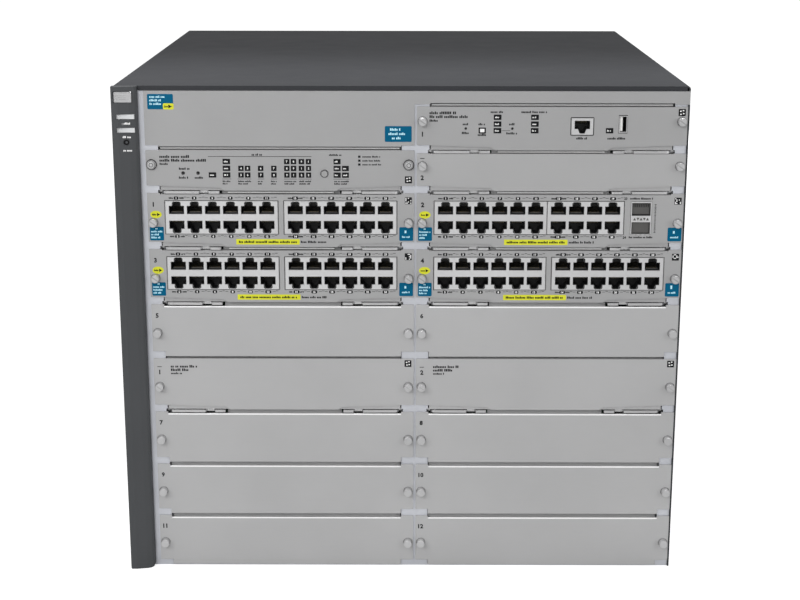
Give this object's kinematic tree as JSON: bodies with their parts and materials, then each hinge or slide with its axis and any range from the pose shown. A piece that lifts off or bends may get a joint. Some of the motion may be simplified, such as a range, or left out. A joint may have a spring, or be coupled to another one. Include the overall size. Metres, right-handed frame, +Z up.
{
  "type": "modular chassis switch",
  "caption": "Rack-size modular network switch: dark folded cover, plated front with plug-in jack modules on slides, ejector levers, blank covers, rear fan tray and power supplies.",
  "frame": {"origin": "middle of the footprint, on the floor", "axes": "+X to the right seen from the front, +Y to the rear, +Z up"},
  "size_m": [0.44, 0.478, 0.3934],
  "materials": {
    "cover_paint": "fine textured dark grey paint",
    "bezel_plastic": "fine matte grain",
    "lamp_lens": "clear milky lens",
    "plated_steel": "satin zinc plate",
    "screw_steel": "turned and plated",
    "lever_steel": "stamped and plated",
    "jack_shield": "bright tinned shields on a green board",
    "board_laminate": "solder mask",
    "button_plastic": "moulded",
    "fan_plastic": "moulded",
    "rear_steel": "satin zinc plate"
  },
  "bodies": {
    "chassis": {"outer_cover": "cover_paint", "base_pan": "plated_steel", "front_frame": "plated_steel", "fascia_panel": "plated_steel", "side_bezel": "bezel_plastic", "status_lamps": "lamp_lens", "guide_walls": "plated_steel", "midplane": "board_laminate", "rear_frame": "plated_steel", "blank_covers": "plated_steel", "cover_screws": "screw_steel"},
    "support_module": {"support_tray": "plated_steel", "support_board": "board_laminate"},
    "support_lever_left": {"support_lever_left": "lever_steel"},
    "support_lever_right": {"support_lever_right": "lever_steel"},
    "manager_module": {"manager_tray": "plated_steel", "manager_board": "board_laminate"},
    "manager_lever_left": {"manager_lever_left": "lever_steel"},
    "manager_lever_right": {"manager_lever_right": "lever_steel"},
    "spare_manager_carrier": {"spare_manager_plate": "plated_steel"},
    "spare_manager_lever_left": {"spare_manager_lever_left": "lever_steel"},
    "spare_manager_lever_right": {"spare_manager_lever_right": "lever_steel"},
    "port_module_a": {"a_tray": "plated_steel", "a_port_board": "jack_shield"},
    "a_lever_left": {"a_lever_left": "lever_steel"},
    "a_lever_right": {"a_lever_right": "lever_steel"},
    "port_module_b": {"b_tray": "plated_steel", "b_port_board": "jack_shield"},
    "b_lever_left": {"b_lever_left": "lever_steel"},
    "b_lever_right": {"b_lever_right": "lever_steel"},
    "port_module_c": {"c_tray": "plated_steel", "c_port_board": "jack_shield"},
    "c_lever_left": {"c_lever_left": "lever_steel"},
    "c_lever_right": {"c_lever_right": "lever_steel"},
    "port_module_d": {"d_tray": "plated_steel", "d_port_board": "jack_shield"},
    "d_lever_left": {"d_lever_left": "lever_steel"},
    "d_lever_right": {"d_lever_right": "lever_steel"},
    "fabric_module_1": {"fabric_1_tray": "plated_steel", "fabric_1_board": "board_laminate"},
    "fabric_1_lever_left": {"fabric_1_lever_left": "lever_steel"},
    "fabric_1_lever_right": {"fabric_1_lever_right": "lever_steel"},
    "fabric_module_2": {"fabric_2_tray": "plated_steel", "fabric_2_board": "board_laminate"},
    "fabric_2_lever_left": {"fabric_2_lever_left": "lever_steel"},
    "fabric_2_lever_right": {"fabric_2_lever_right": "lever_steel"},
    "reset_button": {"reset_button": "button_plastic"},
    "clear_button": {"clear_button": "button_plastic"},
    "lamp_mode_button": {"lamp_mode_button": "button_plastic"},
    "manager_reset_button": {"manager_reset_button": "button_plastic"},
    "shutdown_button": {"shutdown_button": "button_plastic"},
    "fan_module": {"fan_tray": "rear_steel"},
    "fan_rotor_1": {"fan_rotor_1": "fan_plastic"},
    "fan_rotor_2": {"fan_rotor_2": "fan_plastic"},
    "fan_rotor_3": {"fan_rotor_3": "fan_plastic"},
    "fan_rotor_4": {"fan_rotor_4": "fan_plastic"},
    "power_supply_1": {"power_supply_1": "rear_steel"},
    "power_supply_2": {"power_supply_2": "rear_steel"},
    "power_supply_3": {"power_supply_3": "rear_steel"},
    "power_supply_4": {"power_supply_4": "rear_steel"}
  },
  "joints": [
    {"name": "support_module_slide", "type": "slide", "parent": "chassis", "child": "support_module", "axis": [0, -1, 0], "range_m": [0, 0.29]},
    {"name": "support_lever_left_hinge", "type": "hinge", "parent": "support_module", "child": "support_lever_left", "pos_m": [-0.1807, -0.2271, 0.31105], "axis": [0, 0, -1], "range_deg": [0, 75]},
    {"name": "support_lever_right_hinge", "type": "hinge", "parent": "support_module", "child": "support_lever_right", "pos_m": [-0.0054, -0.2271, 0.31105], "axis": [0, 0, 1], "range_deg": [0, 75]},
    {"name": "manager_module_slide", "type": "slide", "parent": "chassis", "child": "manager_module", "axis": [0, -1, 0], "range_m": [0, 0.29]},
    {"name": "manager_lever_left_hinge", "type": "hinge", "parent": "manager_module", "child": "manager_lever_left", "pos_m": [0.0277, -0.2271, 0.3428], "axis": [0, 0, -1], "range_deg": [0, 75]},
    {"name": "manager_lever_right_hinge", "type": "hinge", "parent": "manager_module", "child": "manager_lever_right", "pos_m": [0.203, -0.2271, 0.3428], "axis": [0, 0, 1], "range_deg": [0, 75]},
    {"name": "spare_manager_carrier_slide", "type": "slide", "parent": "chassis", "child": "spare_manager_carrier", "axis": [0, -1, 0], "range_m": [0, 0.13]},
    {"name": "spare_manager_lever_left_hinge", "type": "hinge", "parent": "spare_manager_carrier", "child": "spare_manager_lever_left", "pos_m": [0.0277, -0.2271, 0.31105], "axis": [0, 0, -1], "range_deg": [0, 75]},
    {"name": "spare_manager_lever_right_hinge", "type": "hinge", "parent": "spare_manager_carrier", "child": "spare_manager_lever_right", "pos_m": [0.203, -0.2271, 0.31105], "axis": [0, 0, 1], "range_deg": [0, 75]},
    {"name": "port_module_a_slide", "type": "slide", "parent": "chassis", "child": "port_module_a", "axis": [0, -1, 0], "range_m": [0, 0.29]},
    {"name": "a_lever_left_hinge", "type": "hinge", "parent": "port_module_a", "child": "a_lever_left", "pos_m": [-0.1807, -0.2271, 0.2666], "axis": [0, 0, -1], "range_deg": [0, 75]},
    {"name": "a_lever_right_hinge", "type": "hinge", "parent": "port_module_a", "child": "a_lever_right", "pos_m": [-0.0054, -0.2271, 0.2666], "axis": [0, 0, 1], "range_deg": [0, 75]},
    {"name": "port_module_b_slide", "type": "slide", "parent": "chassis", "child": "port_module_b", "axis": [0, -1, 0], "range_m": [0, 0.29]},
    {"name": "b_lever_left_hinge", "type": "hinge", "parent": "port_module_b", "child": "b_lever_left", "pos_m": [0.0277, -0.2271, 0.2666], "axis": [0, 0, -1], "range_deg": [0, 75]},
    {"name": "b_lever_right_hinge", "type": "hinge", "parent": "port_module_b", "child": "b_lever_right", "pos_m": [0.203, -0.2271, 0.2666], "axis": [0, 0, 1], "range_deg": [0, 75]},
    {"name": "port_module_c_slide", "type": "slide", "parent": "chassis", "child": "port_module_c", "axis": [0, -1, 0], "range_m": [0, 0.29]},
    {"name": "c_lever_left_hinge", "type": "hinge", "parent": "port_module_c", "child": "c_lever_left", "pos_m": [-0.1807, -0.2271, 0.22215], "axis": [0, 0, -1], "range_deg": [0, 75]},
    {"name": "c_lever_right_hinge", "type": "hinge", "parent": "port_module_c", "child": "c_lever_right", "pos_m": [-0.0054, -0.2271, 0.22215], "axis": [0, 0, 1], "range_deg": [0, 75]},
    {"name": "port_module_d_slide", "type": "slide", "parent": "chassis", "child": "port_module_d", "axis": [0, -1, 0], "range_m": [0, 0.29]},
    {"name": "d_lever_left_hinge", "type": "hinge", "parent": "port_module_d", "child": "d_lever_left", "pos_m": [0.0277, -0.2271, 0.22215], "axis": [0, 0, -1], "range_deg": [0, 75]},
    {"name": "d_lever_right_hinge", "type": "hinge", "parent": "port_module_d", "child": "d_lever_right", "pos_m": [0.203, -0.2271, 0.22215], "axis": [0, 0, 1], "range_deg": [0, 75]},
    {"name": "fabric_module_1_slide", "type": "slide", "parent": "chassis", "child": "fabric_module_1", "axis": [0, -1, 0], "range_m": [0, 0.29]},
    {"name": "fabric_1_lever_left_hinge", "type": "hinge", "parent": "fabric_module_1", "child": "fabric_1_lever_left", "pos_m": [-0.1807, -0.2271, 0.13325], "axis": [0, 0, -1], "range_deg": [0, 75]},
    {"name": "fabric_1_lever_right_hinge", "type": "hinge", "parent": "fabric_module_1", "child": "fabric_1_lever_right", "pos_m": [-0.0054, -0.2271, 0.13325], "axis": [0, 0, 1], "range_deg": [0, 75]},
    {"name": "fabric_module_2_slide", "type": "slide", "parent": "chassis", "child": "fabric_module_2", "axis": [0, -1, 0], "range_m": [0, 0.29]},
    {"name": "fabric_2_lever_left_hinge", "type": "hinge", "parent": "fabric_module_2", "child": "fabric_2_lever_left", "pos_m": [0.0277, -0.2271, 0.13325], "axis": [0, 0, -1], "range_deg": [0, 75]},
    {"name": "fabric_2_lever_right_hinge", "type": "hinge", "parent": "fabric_module_2", "child": "fabric_2_lever_right", "pos_m": [0.203, -0.2271, 0.13325], "axis": [0, 0, 1], "range_deg": [0, 75]},
    {"name": "reset_button_press", "type": "slide", "parent": "support_module", "child": "reset_button", "axis": [0, 1, 0], "range_m": [0, 0.0012], "stiffness_N_per_m": 300},
    {"name": "clear_button_press", "type": "slide", "parent": "support_module", "child": "clear_button", "axis": [0, 1, 0], "range_m": [0, 0.0012], "stiffness_N_per_m": 300},
    {"name": "lamp_mode_button_press", "type": "slide", "parent": "support_module", "child": "lamp_mode_button", "axis": [0, 1, 0], "range_m": [0, 0.0012], "stiffness_N_per_m": 300},
    {"name": "manager_reset_button_press", "type": "slide", "parent": "manager_module", "child": "manager_reset_button", "axis": [0, 1, 0], "range_m": [0, 0.0012], "stiffness_N_per_m": 300},
    {"name": "shutdown_button_press", "type": "slide", "parent": "manager_module", "child": "shutdown_button", "axis": [0, 1, 0], "range_m": [0, 0.0012], "stiffness_N_per_m": 300},
    {"name": "fan_module_slide", "type": "slide", "parent": "chassis", "child": "fan_module", "axis": [0, 1, 0], "range_m": [0, 0.09]},
    {"name": "fan_rotor_1_spin", "type": "hinge", "parent": "fan_module", "child": "fan_rotor_1", "pos_m": [-0.153, 0.199, 0.322], "axis": [0, 1, 0], "continuous": true},
    {"name": "fan_rotor_2_spin", "type": "hinge", "parent": "fan_module", "child": "fan_rotor_2", "pos_m": [-0.051, 0.199, 0.322], "axis": [0, 1, 0], "continuous": true},
    {"name": "fan_rotor_3_spin", "type": "hinge", "parent": "fan_module", "child": "fan_rotor_3", "pos_m": [0.051, 0.199, 0.322], "axis": [0, 1, 0], "continuous": true},
    {"name": "fan_rotor_4_spin", "type": "hinge", "parent": "fan_module", "child": "fan_rotor_4", "pos_m": [0.153, 0.199, 0.322], "axis": [0, 1, 0], "continuous": true},
    {"name": "power_supply_1_slide", "type": "slide", "parent": "chassis", "child": "power_supply_1", "axis": [0, 1, 0], "range_m": [0, 0.19]},
    {"name": "power_supply_2_slide", "type": "slide", "parent": "chassis", "child": "power_supply_2", "axis": [0, 1, 0], "range_m": [0, 0.19]},
    {"name": "power_supply_3_slide", "type": "slide", "parent": "chassis", "child": "power_supply_3", "axis": [0, 1, 0], "range_m": [0, 0.19]},
    {"name": "power_supply_4_slide", "type": "slide", "parent": "chassis", "child": "power_supply_4", "axis": [0, 1, 0], "range_m": [0, 0.19]}
  ]
}
